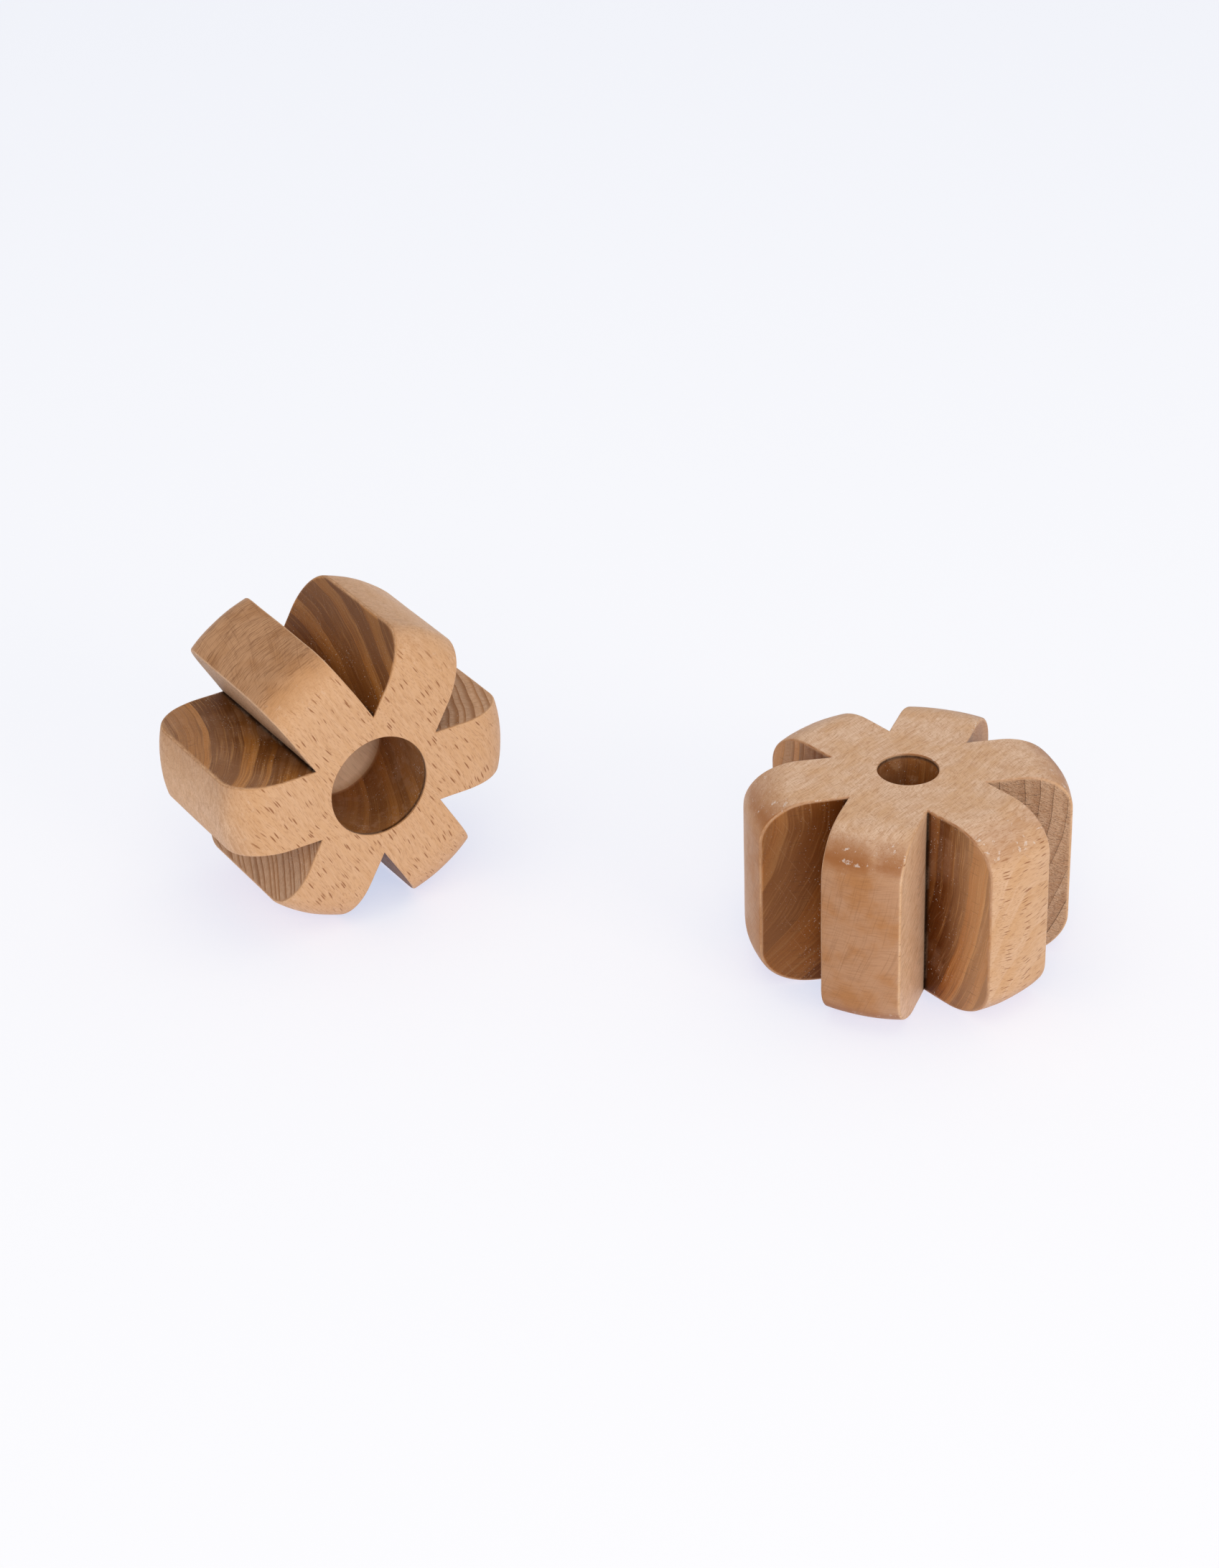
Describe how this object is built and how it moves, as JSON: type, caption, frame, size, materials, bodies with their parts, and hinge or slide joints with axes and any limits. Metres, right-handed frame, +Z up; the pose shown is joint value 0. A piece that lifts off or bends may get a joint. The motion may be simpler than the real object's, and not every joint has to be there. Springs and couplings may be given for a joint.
{
  "type": "pair of star-shaped wooden puzzle blocks",
  "caption": "Loose star-shaped beech blocks with rounded rims, V notches between parallel-sided arms, and a centre bore in each end; one stands on end, the other lies on its side.",
  "frame": {"origin": "on the table, under the middle of the box that holds both blocks", "axes": "+Z up; the lying block's bore axis runs along Y with its wide bore towards -Y; the upright block's bore axis is parallel to Z"},
  "size_m": [0.1446, 0.146, 0.0625],
  "materials": {
    "upright_beech": "oiled satin",
    "lying_beech": "oiled satin"
  },
  "bodies": {
    "upright_block": {"upright_block": "upright_beech"},
    "lying_block": {"lying_block": "lying_beech"}
  },
  "joints": [
    {"name": "lying_block_lift", "type": "slide", "parent": "upright_block", "child": "lying_block", "axis": [0, 0, 1], "range_m": [0, 0.1]}
  ]
}
